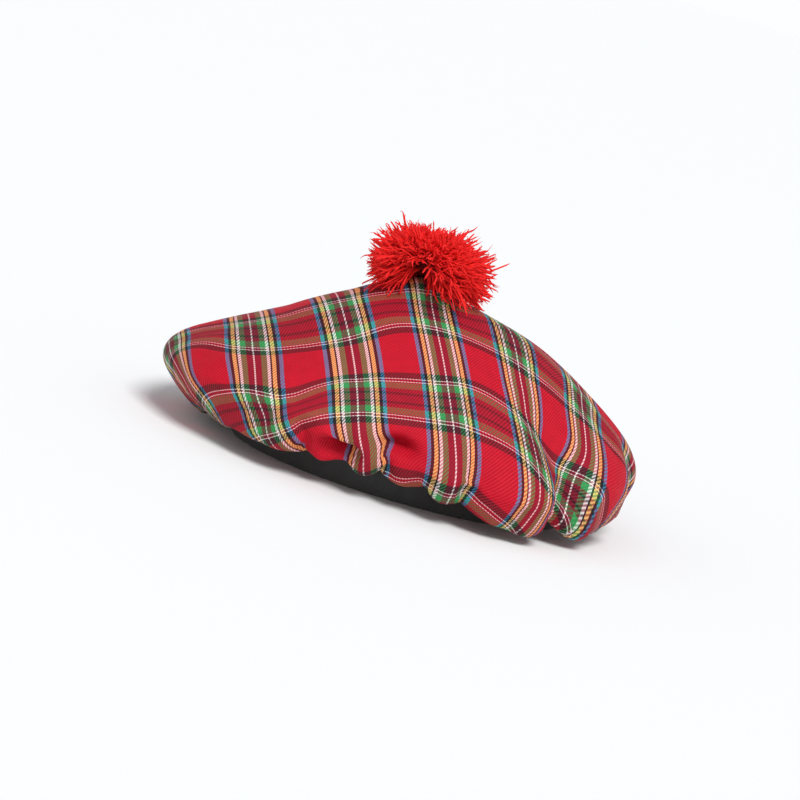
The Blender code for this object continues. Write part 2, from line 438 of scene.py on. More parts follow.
@dataclass(frozen=True)
class CheckedTwill:
    """Two-and-two twill in a check, thread by thread, on the cloth's own map in metres."""

    end_pitch: float = 0.00045
    pick_pitch: float = 0.00054
    weft_center: float = 0.0535
    # painted light: warp floats painted brighter and weft floats darker, as light catches the floats
    painted_end_light: float = 1.16
    painted_pick_shade: float = 0.94
    relief: float = 0.38
    pale_relief: float = 0.50
    blend: float = 0.36
    # painted highlight: a pale colour mixed onto the crests of the warp floats
    painted_highlight: float = 0.018
    highlight_color: Color = (0.90, 0.80, 0.80)
    thread_spread: float = 0.16
    drift_spread: float = 0.20
    # painted shade: threads darker in the valleys between them, lighter at their crests
    painted_crest_light: float = 0.45
    painted_valley_shade: float = 0.66
    slubs: float = 160.0
    thread_height: float = 0.00018
    thread_relief: float = 0.45
    roughness: float = 0.60

    def ramp(self, maker: NodeMaker, place: Value, stripes: Sequence[Stripe],
             is_warp: bool) -> bpy.types.Node:
        """Colour of a thread, and in alpha its strength, from its place in the half check.

        Args:
            maker: The material's nodes.
            place: The place, from 0 at the wide red's middle to 1 at the mirror line.
            stripes: The half check's stripes in order.
            is_warp: Whether the threads are the warp.

        Returns:
            The ramp node.
        """
        total = sum(stripe.threads for stripe in stripes)
        stops = []
        counted = 0.0
        for stripe in stripes:
            dye = Yarn[stripe.yarn].value
            stops.append((counted / total, (*dye.color, dye.as_warp if is_warp else dye.as_weft)))
            counted += stripe.threads
        return maker.make("ShaderNodeValToRGB", {"interpolation": "CONSTANT", "stops": stops}, {0: place})

    def mirrored(self, index: Value, stripes: Sequence[Stripe]) -> Value:
        """Place of a thread in the mirrored check, 1 at index 0."""
        half = sum(stripe.threads for stripe in stripes)
        return abs(index % (2.0 * half) - half) / half

    def uneven(self, maker: NodeMaker, thread: Value) -> Value:
        """Small difference in tone from thread to thread, around 0."""
        noise = maker.make("ShaderNodeTexWhiteNoise", {"noise_dimensions": "1D"}, {"W": thread})
        return (Value(maker, noise.outputs[0]) - 0.5) * self.thread_spread

    def paleness(self, maker: NodeMaker, ramp: bpy.types.Node) -> Value:
        """How pale a thread is; pale threads stand out more from float to float."""
        split = maker.make("ShaderNodeSeparateColor", None, {0: ramp.outputs["Color"]})
        return Value(maker, split.outputs[1])

    def float_height(self, across: Value, run: Value) -> Value:
        """Height of a thread from its place across and along its float."""
        slope = run * 2.0 - 1.0
        return (1.0 - across * across * 4.0) * (1.0 - slope * slope * 0.5)

    def build(self) -> bpy.types.Material:
        """Make the material.

        Returns:
            The checked twill.
        """
        maker = MaterialMaker("checked_twill")
        lay, along_weft, along_warp = maker.map_axes(CLOTH_MAP)
        ends = along_weft / self.end_pitch
        picks = (along_warp - self.weft_center) / self.pick_pitch
        end = (ends + 0.5).floor()
        pick = (picks + 0.5).floor()
        across_end = ends - end
        across_pick = picks - pick
        step = (end + pick) % 4.0
        end_over = step < 1.5
        warp = self.ramp(maker, self.mirrored(end + 0.5, WARP_STRIPES), WARP_STRIPES, True)
        weft = self.ramp(maker, self.mirrored(pick, WEFT_STRIPES), WEFT_STRIPES, False)
        slub = maker.make("ShaderNodeTexNoise", {"noise_dimensions": "2D"},
                          {"Vector": lay, "Scale": self.slubs, "Detail": 3.0})
        drift = (Value(maker, slub.outputs[0]) - 0.5) * self.drift_spread + 1.0
        end_height = self.float_height(across_end, (step + across_pick + 0.5) * 0.5)
        pick_height = self.float_height(across_pick, (step - 2.0 + across_end + 0.5) * 0.5)
        height = end_over * end_height + (1.0 - end_over) * pick_height
        # random tone from thread to thread, with painted light: warp floats brighter, weft floats darker
        random_tone_and_painted_light = (end_over * (self.uneven(maker, end) + self.painted_end_light)
                + (1.0 - end_over) * (self.uneven(maker, pick) + self.painted_pick_shade))
        lead = (Value(maker, warp.outputs["Alpha"]) - Value(maker, weft.outputs["Alpha"])) * 0.5
        pale = self.paleness(maker, warp) + self.paleness(maker, weft)
        shown = (end_over - 0.5) * (pale * self.pale_relief + self.relief) + lead + 0.5
        color = maker.mix(shown, weft.outputs["Color"], warp.outputs["Color"])
        both = maker.make("ShaderNodeMix", {"data_type": "RGBA", "blend_type": "MULTIPLY"},
                          {0: 1.0, 6: weft.outputs["Color"], 7: warp.outputs["Color"]})
        dull = maker.make("ShaderNodeGamma", None, {0: both.outputs[2], 1: 0.5})
        color = maker.mix(self.blend, color, dull.outputs[0])
        # painted shade: darker between threads and lighter on their crests, with the random tone and the
        # painted float light
        color = maker.scale(color, random_tone_and_painted_light * drift * (height * self.painted_crest_light + self.painted_valley_shade))
        # painted highlight on the crests of the warp floats
        color = maker.mix(end_over * end_height * self.painted_highlight, color, self.highlight_color)
        maker.bump(height, self.thread_relief, self.thread_height)
        return maker.finish(color, Roughness=self.roughness, Specular_IOR_Level=0.10)


@dataclass(frozen=True)
class BandCloth:
    """Matt black cloth with a fine upright rib, with painted shade between the ribs."""

    color: Color = (0.055, 0.055, 0.054)
    rib_pitch: float = 0.0011
    course_share: float = 0.8
    rib_height: float = 0.00025

    def build(self) -> bpy.types.Material:
        """Make the material.

        Returns:
            The black band cloth.
        """
        maker = MaterialMaker("band_cloth")
        _, round_band, up_band = maker.map_axes(CLOTH_MAP)
        along = round_band / self.rib_pitch
        up = up_band / (self.rib_pitch * self.course_share)
        across = along - (along + 0.5).floor()
        course = (up + across * abs(across) * 2.0) % 1.0 - 0.5
        height = (1.0 - across * across * 4.0) * (1.0 - course * course * 2.0)
        # random tone, with painted shade: rib valleys darker and crests lighter
        random_tone_and_painted_light = (maker.noise(90.0, 4.0) - 0.5) * 0.5 + height * 0.25 + 0.85
        color = maker.scale(self.color, random_tone_and_painted_light)
        maker.bump(height, 0.5, self.rib_height)
        return maker.finish(color, Roughness=0.85, Sheen_Weight=0.08, Sheen_Roughness=0.6,
                            Specular_IOR_Level=0.2)


@dataclass(frozen=True)
class PompomYarn:
    """Bright red soft yarn, with painted shade towards the middle where the ends crowd."""

    tip: Color = (0.900, 0.026, 0.024)
    # painted shade: the dark colour the yarn takes near the tied middle
    root: Color = (0.130, 0.004, 0.005)
    own_spread: float = 0.25
    fibre_spread: float = 0.30
    fibre_height: float = 0.0003

    def build(self) -> bpy.types.Material:
        """Make the material.

        Returns:
            The red yarn.
        """
        maker = MaterialMaker("pompom_yarn")
        _, out, own = maker.map_axes(DEPTH_MAP)
        fibre = maker.noise(900.0, 2.0)
        # painted shade: from the dark root colour near the middle to the lit tip colour
        color = maker.mix(out, self.root, self.tip)
        color = maker.scale(color, (own - 0.5) * self.own_spread + (fibre - 0.5) * self.fibre_spread + 1.0)
        maker.bump(fibre, 0.5, self.fibre_height)
        return maker.finish(color, Roughness=0.85, Sheen_Weight=0.02, Sheen_Roughness=0.4,
                            Specular_IOR_Level=0.12)


def smooth_step(value: np.ndarray) -> np.ndarray:
    """Ease from 0 to 1."""
    value = np.clip(value, 0.0, 1.0)
    return value * value * (3.0 - 2.0 * value)


def select_only(item: bpy.types.Object) -> None:
    """Make one object the only selected and active one.

    Args:
        item: The object.
    """
    bpy.ops.object.select_all(action="DESELECT")
    item.select_set(True)
    bpy.context.view_layer.objects.active = item


def apply_modifiers(item: bpy.types.Object) -> None:
    """Apply every modifier of an object in order.

    Args:
        item: The object.
    """
    select_only(item)
    for modifier in list(item.modifiers):
        bpy.ops.object.modifier_apply(modifier=modifier.name)


def new_object(name: str, verts: np.ndarray, faces: list[list[int]],
               maps: dict[str, np.ndarray] | None = None,
               material: bpy.types.Material | None = None) -> bpy.types.Object:
    """Make a smooth object from points and faces.

    Args:
        name: The object's name.
        verts: Points, one row each.
        faces: Point indices, face by face.
        maps: Map name to two numbers per point.
        material: The object's material.

    Returns:
        The new object.
    """
    mesh = bpy.data.meshes.new(name)
    mesh.from_pydata(verts.tolist(), [], faces)
    for key, values in (maps or {}).items():
        layer = mesh.uv_layers.new(name=key)
        loops = np.empty(len(mesh.loops), dtype=np.int32)
        mesh.loops.foreach_get("vertex_index", loops)
        layer.data.foreach_set("uv", values[loops].astype(np.float32).ravel())
    if material:
        mesh.materials.append(material)
    mesh.shade_smooth()
    item = bpy.data.objects.new(name, mesh)
    bpy.context.scene.collection.objects.link(item)
    return item


@dataclass
class ClothLay:
    """How the flat round of cloth lies on the crown: where the check's lines fall."""

    bow_radius: float = 0.150
    warp_offset: float = -0.0012
    warp_along: float = 0.968
    warp_turn: float = 0.227
    warp_bow: float = -0.015
    warp_skew: float = 0.043
    warp_curl: float = 0.035
    weft_offset: float = 0.0261
    weft_along: float = 0.928
    weft_turn: float = 0.025
    weft_bow: float = 0.030
    weft_skew: float = 0.047

    def place(self, run: np.ndarray, azimuth: np.ndarray) -> np.ndarray:
        """Cloth coordinates in metres.

        Args:
            run: Length of cloth from the peak.
            azimuth: Azimuth in degrees.

        Returns:
            Warp and weft coordinates, two numbers per point.
        """
        angle = np.radians(azimuth)
        x, y = run * np.cos(angle), run * np.sin(angle)
        far = self.bow_radius * (run / self.bow_radius) ** 2
        bow, skew = far * np.cos(2.0 * angle), far * np.sin(2.0 * angle)
        curl = self.bow_radius * (run / self.bow_radius) ** 3 * np.cos(3.0 * angle)
        warp = (self.warp_offset + self.warp_along * x + self.warp_turn * y
                + self.warp_bow * bow + self.warp_skew * skew + self.warp_curl * curl)
        weft = (self.weft_offset - self.weft_turn * x - self.weft_along * y
                - self.weft_bow * bow - self.weft_skew * skew)
        return np.stack([warp + self.pulled(x, y, WARP_PULLS),
                         weft + self.pulled(x, y, WEFT_PULLS)], axis=-1)

    def pulled(self, x: np.ndarray, y: np.ndarray, pulls: Sequence[Pull]) -> np.ndarray:
        """Sum the local pulls.

        Args:
            x: First coordinate on the flat cloth.
            y: Second coordinate on the flat cloth.
            pulls: The pulls.

        Returns:
            How far the cloth is drawn at each place.
        """
        total = np.zeros_like(x)
        for pull in pulls:
            angle = math.radians(pull.azimuth)
            away = (x - pull.run * math.cos(angle)) ** 2 + (y - pull.run * math.sin(angle)) ** 2
            total += pull.shift * np.exp(-away / (2.0 * pull.reach ** 2))
        return total


@dataclass
class Crown:
    """The gathered round of checked cloth."""

    radius: float = 0.148
    height: float = 0.118
    apex_x: float = -0.015
    apex_y: float = -0.004
    shift_end: float = 0.75
    cap_reach: float = 0.36
    cap_drop: float = 0.33
    neck_out: float = 0.0035
    neck_drop: float = 0.0002
    core_reach: float = 0.66
    core_rise: float = 0.37
    gather_count: int = 27
    gather_height: float = 0.0035
    gather_drift: float = 1.3
    gather_drifts: float = 5.0
    gather_rise: Rise = Rise(1.0, 0.84, 0.09)
    gather_ease: Rise = Rise(-0.6, 0.95, 0.05)
    fold_fade: Rise = Rise(1.0, 0.93, 0.05)
    fold_kept: float = 0.15
    ripple_fade: float = 0.4
    ripple_drift: float = 1.1
    band_half_width: float = 0.102
    band_half_depth: float = 0.077
    band_height: float = 0.030
    band_wall: float = 0.0025
    band_round: float = 0.0006
    gap: float = 0.0003
    cloth: float = 0.0008
    cut_radius: float = 0.226
    columns: int = 192
    rows: int = 64
    row_shift: float = 0.035
    slack_rises: tuple[Rise, Rise] = (Rise(0.15, 0.35, 0.42), Rise(0.20, 0.74, 0.20))
    held_top: Rise = Rise(-1.0, 0.22, 0.35)
    held_seam: Rise = Rise(1.0, 0.965, 0.02)
    held_least: float = 0.06
    buckle_least: float = 0.2
    buckle_rises: tuple[Rise, Rise] = (Rise(1.0, 0.60, 0.22), Rise(-1.2, 0.95, 0.05))
    settle_frames: int = 24
    settle_cap: float = 0.008
    kept_waves: float = 14.0
    kept_rows: float = 7.0
    puff: float = 0.8
    gravity: float = 0.1

    def section_at(self, azimuth: np.ndarray) -> np.ndarray:
        """Section values, smooth and periodic through the table.

        Args:
            azimuth: Azimuths in degrees.

        Returns:
            The six values at each azimuth.
        """
        table = np.array([row[1:] for row in SECTIONS])
        count = len(table)
        place = np.mod(azimuth, 360.0) / 360.0 * count
        first = np.floor(place).astype(int)
        part = (place - first)[..., None]
        before, start, end, after = (table[(first + step) % count] for step in (-1, 0, 1, 2))
        return 0.5 * (2.0 * start + (end - before) * part
                      + (2.0 * before - 5.0 * start + 4.0 * end - after) * part ** 2
                      + (3.0 * start - before - 3.0 * end + after) * part ** 3)

    def curve(self, values: np.ndarray, share: np.ndarray, first: np.ndarray) -> np.ndarray:
        """Smooth curve through the knots' values.

        Args:
            values: One value per knot in the last axis.
            share: Share of the run from peak to seam.
            first: The slope at the peak.

        Returns:
            The curve's value at each share.
        """
        knots = np.array(KNOTS)
        steps = np.diff(knots)
        rises = np.diff(values, axis=-1) / steps
        slopes = np.empty_like(values)
        slopes[..., 1:-1] = ((rises[..., 1:] * steps[:-1] + rises[..., :-1] * steps[1:])
                             / (steps[1:] + steps[:-1]))
        slopes[..., 0] = first
        slopes[..., -1] = rises[..., -1] if np.any(first) else 0.0
        index = np.clip(np.searchsorted(knots, share, side="right") - 1, 0, len(knots) - 2)
        span = steps[index]
        t = (share - knots[index]) / span
        start, end, leave, arrive = (np.take_along_axis(array, at[..., None], -1)[..., 0]
                                     for array, at in ((values, index), (values, index + 1),
                                                       (slopes, index), (slopes, index + 1)))
        return ((2 * t ** 3 - 3 * t ** 2 + 1) * start + (t ** 3 - 2 * t ** 2 + t) * span * leave
                + (3 * t ** 2 - 2 * t ** 3) * end + (t ** 3 - t ** 2) * span * arrive)

    def plain(self, share: np.ndarray, azimuth: np.ndarray) -> np.ndarray:
        """Points of the face before any fold.

        Args:
            share: Share of the run from peak to seam.
            azimuth: Azimuth in degrees.

        Returns:
            The points.
        """
        rows = self.section_at(azimuth)
        angle = np.radians(azimuth)
        band = 1.0 / np.hypot(np.cos(angle) / self.band_half_width, np.sin(angle) / self.band_half_depth)
        none = 0.0 * band
        seam = self.band_height + self.gap
        shoulder_r, shoulder_z, rim_r, rim_z, belly_r, belly_z = np.moveaxis(rows, -1, 0)
        radii = np.stack([none, self.cap_reach * shoulder_r * self.radius, shoulder_r * self.radius,
                          rim_r * self.radius, belly_r * self.radius, band + self.neck_out,
                          band - self.band_wall + self.band_round], axis=-1)
        heights = np.stack([none + self.height, (1.0 - (1.0 - shoulder_z) * self.cap_drop) * self.height,
                            shoulder_z * self.height, rim_z * self.height, belly_z * self.height,
                            none + seam - self.neck_drop, none + seam], axis=-1)
        radius = self.curve(radii, share, (radii[..., 1] - radii[..., 0]) / (KNOTS[1] - KNOTS[0]))
        height = self.curve(heights, share, none)
        shift = 1.0 - smooth_step(share / self.shift_end)
        return np.stack([self.apex_x * shift + radius * np.cos(angle),
                         self.apex_y * shift + radius * np.sin(angle), height], axis=-1)

    def fold_depth(self, share: np.ndarray, azimuth: np.ndarray) -> np.ndarray:
        """How far folds, gathers, dips and ripples press the face inwards.

        Args:
            share: Share of the run from peak to seam.
            azimuth: Azimuth in degrees.

        Returns:
            The depth in metres.
        """
        kept = 1.0 - self.fold_fade.at(share) * (1.0 - self.fold_kept)
        depth = np.zeros_like(share)
        for fold in FOLDS:
            away = np.mod(azimuth - fold.azimuth + 180.0, 360.0) - 180.0
            grown = smooth_step((share - fold.start) / (fold.full - fold.start))
            depth += fold.depth * self.radius * grown * kept * np.exp(-(away / fold.half_width) ** 2)
        rise = self.gather_rise.at(share) * (1.0 + self.gather_ease.at(share))
        turn = (np.radians(azimuth * self.gather_count)
                + self.gather_drift * np.sin(np.radians(azimuth * self.gather_drifts)))
        depth += self.gather_height * rise * (0.5 - 0.5 * np.cos(turn))
        for dip in DIPS:
            away = (np.mod(azimuth - dip.azimuth + 180.0, 360.0) - 180.0) / dip.half_width
            down = (share - dip.share) / dip.half_share
            depth += dip.depth * np.exp(-away ** 2 - down ** 2)
        for ripple in RIPPLES:
            grown = smooth_step((share - ripple.start) / (ripple.full - ripple.start))
            turn = np.radians(azimuth * ripple.count) + ripple.phase + ripple.drift * 6.0 * share
            uneven = (1.0 - self.ripple_fade
                      + self.ripple_fade * np.sin(np.radians(azimuth * 3.0) + ripple.phase * 2.0))
            turn = turn + self.ripple_drift * np.sin(np.radians(azimuth * 7.0) + ripple.phase)
            depth += ripple.height * grown * uneven * (0.5 + 0.5 * np.sin(turn))
        return depth

    def face(self, share: np.ndarray, azimuth: np.ndarray) -> np.ndarray:
        """Points of the folded face.

        Args:
            share: Share of the run from peak to seam.
            azimuth: Azimuth in degrees.

        Returns:
            The points.
        """
        points = self.plain(share, azimuth)
        reach = self.core_reach * self.section_at(azimuth)[..., 2] * self.radius
        angle = np.radians(azimuth)
        core = np.stack([reach * np.cos(angle), reach * np.sin(angle),
                         np.full_like(reach, self.core_rise * self.height)], axis=-1)
        inwards = core - points
        inwards /= np.linalg.norm(inwards, axis=-1, keepdims=True)
        return points + inwards * self.fold_depth(share, azimuth)[..., None]

    def grid(self, fine: int) -> tuple[np.ndarray, np.ndarray]:
        """Shares and azimuths of the cloth's grid; row 0 is the peak.

        Args:
            fine: How many times finer than the settling grid.

        Returns:
            The share and the azimuth of each grid point.
        """
        steps = np.linspace(0.0, 1.0, self.rows * fine + 1)
        shares = steps + self.row_shift * np.sin(2.0 * np.pi * steps)
        azimuths = np.arange(self.columns * fine) * 360.0 / (self.columns * fine)
        share, azimuth = np.meshgrid(shares, azimuths, indexing="ij")
        return share, azimuth

    def layer(self, points: np.ndarray) -> tuple[np.ndarray, list[list[int]]]:
        """One layer of cloth from a grid of points.

        Args:
            points: Points by row and column; row 0 is the peak.

        Returns:
            The points in order, and the faces.
        """
        rows, columns = points.shape[0] - 1, points.shape[1]
        verts = np.concatenate([points[0, :1], points[1:].reshape(-1, 3)])
        index = 1 + np.arange(rows * columns).reshape(rows, columns)
        following = np.roll(index, -1, axis=1)
        quads = np.stack([index[:-1], index[1:], following[1:], following[:-1]], axis=-1).reshape(-1, 4)
        fan = [[0, int(first), int(second)] for first, second in zip(index[0], following[0])]
        return verts, quads.tolist() + fan

    def slack(self, share: np.ndarray) -> np.ndarray:
        """How much longer the cloth is round a row than the row itself."""
        return sum((rise.at(share) for rise in self.slack_rises), 1.0)

    def uncrumpled(self, points: np.ndarray, share: np.ndarray, azimuth: np.ndarray) -> np.ndarray:
        """Lay the cloth's own lengths out as a wider bell that needs no folds.

        Args:
            points: The folded face's points.
            share: Share of the run from peak to seam.
            azimuth: Azimuth in degrees.

        Returns:
            The bell's points.
        """
        plain = self.plain(share, azimuth)
        wide = plain[..., :2] * self.slack(share)[..., None]
        run = np.linalg.norm(np.diff(points, axis=0), axis=-1)
        across = np.linalg.norm(np.diff(wide, axis=0), axis=-1)
        drop = np.sqrt(np.maximum(run ** 2 - across ** 2, 1e-10))
        height = self.height - np.concatenate([np.zeros_like(drop[:1]), np.cumsum(drop, axis=0)])
        return np.concatenate([wide, height[..., None]], axis=-1)

    def settled(self) -> np.ndarray:
        """Let the loose cloth buckle between peak and seam.

        Returns:
            How far each point of the settling grid moves.
        """
        share, azimuth = self.grid(1)
        points = self.face(share, azimuth)
        item = new_object("settling", *self.layer(points))
        item.shape_key_add(name="Basis")
        cut = item.shape_key_add(name="cut")
        wide = self.uncrumpled(points, share, azimuth)
        own = np.concatenate([wide[0, :1], wide[1:].reshape(-1, 3)])
        cut.data.foreach_set("co", own.astype(np.float32).ravel())
        held = item.vertex_groups.new(name="held")
        top = 1.0 + self.held_top.at(share[:, 0])
        seam = self.held_seam.at(share[:, 0])
        for row in range(self.rows + 1):
            weight = float(max(top[row], seam[row], self.held_least))
            first = 0 if row == 0 else 1 + (row - 1) * self.columns
            count = 1 if row == 0 else self.columns
            held.add(list(range(first, first + count)), weight, "REPLACE")
        cloth = item.modifiers.new("settle", "CLOTH")
        rules = cloth.settings
        for key, value in SETTLING.items():
            setattr(rules, key, value)
        rules.vertex_group_mass = "held"
        rules.rest_shape_key = cut
        rules.use_pressure = True
        rules.uniform_pressure_force = self.puff
        rules.effector_weights.gravity = self.gravity
        cloth.collision_settings.use_collision = cloth.collision_settings.use_self_collision = False
        cloth.point_cache.frame_start, cloth.point_cache.frame_end = 1, self.settle_frames
        scene = bpy.context.scene
        for frame_number in range(1, self.settle_frames + 1):
            scene.frame_set(frame_number)
        settled = item.evaluated_get(bpy.context.evaluated_depsgraph_get())
        now = np.empty(len(settled.data.vertices) * 3)
        settled.data.vertices.foreach_get("co", now)
        now = now.reshape(-1, 3)
        grid = np.concatenate([np.repeat(now[:1], self.columns, axis=0)[None],
                               now[1:].reshape(self.rows, self.columns, 3)])
        bpy.data.objects.remove(item)
        scene.frame_set(1)
        moved = grid - points
        moved = (moved - self.blurred(moved)) * self.buckled(share)[..., None]
        size = np.linalg.norm(moved, axis=-1, keepdims=True)
        LOG.info("crown settled: moves up to %.1f mm, half of them under %.1f mm",
                 1000.0 * size.max(), 1000.0 * np.median(size))
        return moved * self.settle_cap / np.sqrt(self.settle_cap ** 2 + size ** 2)

    def buckled(self, share: np.ndarray) -> np.ndarray:
        """How much of the buckling is kept: little on the top, most of it low down, none at the seam."""
        return sum((rise.at(share) for rise in self.buckle_rises), self.buckle_least)

    def blurred(self, moved: np.ndarray) -> np.ndarray:
        """The broad part of the settling, which would change the crown's form.

        Args:
            moved: How far each point of the grid moved.

        Returns:
            The part of it that is smooth round and down the cloth.
        """
        wave = np.fft.rfft(moved, axis=1)
        order = np.arange(wave.shape[1]) / self.kept_waves
        wide = np.fft.irfft(wave * np.exp(-order ** 2)[None, :, None], n=moved.shape[1], axis=1)
        rows = np.arange(moved.shape[0])
        weights = np.exp(-((rows[:, None] - rows[None]) / self.kept_rows) ** 2)
        weights /= weights.sum(axis=1, keepdims=True)
        return np.einsum("ij,jkl->ikl", weights, wide)

    def doubled(self, values: np.ndarray) -> np.ndarray:
        """Make the grid twice as fine, smoothly both ways.

        Args:
            values: Values by row and column, closed round.

        Returns:
            The same values with new ones between them.
        """
        columns = values.shape[1]
        ring = np.concatenate([values[:, -1:], values, values[:, :2]], axis=1)
        middle = (9.0 * (ring[:, 1:-2] + ring[:, 2:-1]) - ring[:, :-3] - ring[:, 3:]) / 16.0
        wide = np.empty((values.shape[0], 2 * columns, values.shape[2]))
        wide[:, 0::2], wide[:, 1::2] = values, middle
        line = np.concatenate([wide[:1], wide, wide[-1:]])
        middle = (9.0 * (line[1:-2] + line[2:-1]) - line[:-3] - line[3:]) / 16.0
        tall = np.empty((2 * values.shape[0] - 1, 2 * columns, values.shape[2]))
        tall[0::2], tall[1::2] = wide, middle
        return tall

    def build(self, material: bpy.types.Material) -> None:
        """Args:
            material: The checked twill.
        """
        share, azimuth = self.grid(2)
        points = self.face(share, azimuth) + self.doubled(self.settled())
        smooth = self.plain(share, azimuth)
        run = np.cumsum(np.linalg.norm(np.diff(smooth, axis=0), axis=-1), axis=0)
        lay = ClothLay()
        coords = np.concatenate([lay.place(np.zeros(1), np.zeros(1)),
                                 lay.place(run, azimuth[1:]).reshape(-1, 2)])
        item = new_object("crown_cloth", *self.layer(points), {CLOTH_MAP: coords}, material)
        wall = item.modifiers.new("wall", "SOLIDIFY")
        wall.thickness = self.cloth
        wall.offset = -1.0
        wall.use_even_offset = False
        apply_modifiers(item)
        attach(item, "root")
        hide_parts("crown")
        LOG.info("crown: %d faces, %.3f m from peak to seam", len(item.data.polygons), run[-1].mean())


@dataclass
class Headband:
    """The plain oval band of folded black cloth."""

    half_width: float = 0.102
    half_depth: float = 0.077
    height: float = 0.030
    wall: float = 0.0023
    length: float = 0.565
    slack: float = 0.0005
    edge_share: float = 0.45
    hem: float = 0.001
    levels: tuple[float, ...] = (0.0025, 0.006, 0.012, 0.018, 0.024, 0.0275)
    segments: int = 240

    def build(self, material: bpy.types.Material) -> None:
        """Make the band from an open cylinder.

        Args:
            material: The black cloth.
        """
        bpy.ops.object.select_all(action="DESELECT")
        bpy.ops.mesh.primitive_cylinder_add(vertices=self.segments, radius=1.0, depth=self.height,
                                            end_fill_type="NOTHING", location=(0.0, 0.0, self.height / 2.0))
        item = bpy.context.active_object
        item.name = item.data.name = "headband_cloth"
        bpy.ops.object.transform_apply(location=True, rotation=True, scale=True)
        bpy.ops.object.mode_set(mode="EDIT")
        bpy.ops.mesh.select_all(action="SELECT")
        bpy.ops.transform.resize(value=(self.half_width, self.half_depth, 1.0))
        for level in self.levels:
            bpy.ops.mesh.select_all(action="SELECT")
            bpy.ops.mesh.bisect(plane_co=(0.0, 0.0, level), plane_no=(0.0, 0.0, 1.0))
        bpy.ops.object.mode_set(mode="OBJECT")
        wall = item.modifiers.new("wall", "SOLIDIFY")
        wall.thickness = self.wall
        wall.offset = -1.0
        edge = item.modifiers.new("edge", "BEVEL")
        edge.width = self.wall * self.edge_share
        edge.segments = 3
        edge.limit_method = "ANGLE"
        edge.angle_limit = math.radians(50.0)
        apply_modifiers(item)
        self.soften(item.data)
        self.map_cloth(item.data)
        item.data.materials.clear()
        item.data.materials.append(material)
        item.data.shade_smooth()
        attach(item, "root")
        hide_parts("headband")
        LOG.info("headband: %d faces", len(item.data.polygons))

    def soften(self, mesh: bpy.types.Mesh) -> None:
        """Let the band waver a little, as cloth does.

        Args:
            mesh: The band's mesh.
        """
        points = np.empty(len(mesh.vertices) * 3)
        mesh.vertices.foreach_get("co", points)
        points = points.reshape(-1, 3)
        angle = np.arctan2(points[:, 1] / self.half_depth, points[:, 0] / self.half_width)
        level = points[:, 2] / self.height
        wave = (np.sin(9.0 * angle + 0.6) + 0.7 * np.sin(17.0 * angle + 2.1 + 1.4 * level)
                + 0.5 * np.sin(31.0 * angle))
        belly = np.sin(np.pi * np.clip(level, 0.0, 1.0))
        pull = 1.0 - self.slack * (0.5 + 0.25 * wave) * belly / self.half_depth
        points[:, 0] *= pull
        points[:, 1] *= pull
        mesh.vertices.foreach_set("co", points.ravel())

    def map_cloth(self, mesh: bpy.types.Mesh) -> None:
        """Give the band a map in metres: along the band, and up it.

        Args:
            mesh: The band's mesh.
        """
        layer = mesh.uv_layers.get(CLOTH_MAP) or mesh.uv_layers.new(name=CLOTH_MAP)
        mean = math.sqrt((self.half_width ** 2 + self.half_depth ** 2) / 2.0)
        for polygon in mesh.polygons:
            middle = math.atan2(polygon.center.y / self.half_depth, polygon.center.x / self.half_width)
            for loop in polygon.loop_indices:
                point = mesh.vertices[mesh.loops[loop].vertex_index].co
                angle = math.atan2(point.y / self.half_depth, point.x / self.half_width)
                angle += 2.0 * math.pi * round((middle - angle) / (2.0 * math.pi))
                layer.data[loop].uv = (angle * mean, point.z)


